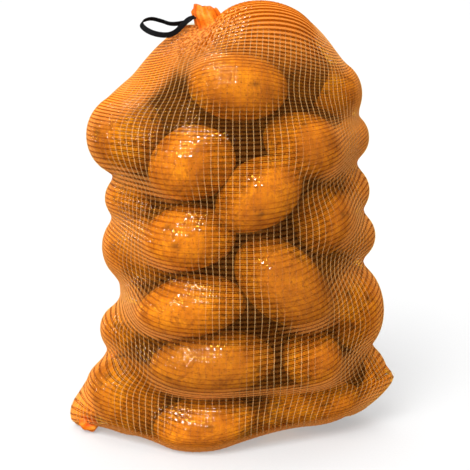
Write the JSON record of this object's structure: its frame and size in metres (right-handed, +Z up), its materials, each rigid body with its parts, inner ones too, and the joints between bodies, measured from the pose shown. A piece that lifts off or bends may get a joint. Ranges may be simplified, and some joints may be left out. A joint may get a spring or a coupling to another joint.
{
  "type": "mesh sack",
  "caption": "Full net sack of potatoes standing upright, gathered into a tuft at the tied neck, with a looped flat drawstring and two seam corners.",
  "frame": {"origin": "on the floor under the middle of the sack's box", "axes": "+Z up, from the floor to the tied neck; the front that the picture shows faces -Y; +X to the right as seen from the front"},
  "size_m": [0.3359, 0.1984, 0.437],
  "materials": {
    "net": "translucent orange knitted polyethylene net, glossy film tapes",
    "potato": "washed potato skin, yellow-brown with darker specks and eyes",
    "tape": "black flat woven plastic tape, satin"
  },
  "bodies": {
    "root": {"sack": "net", "drawstring": "tape"}
  },
  "joints": []
}
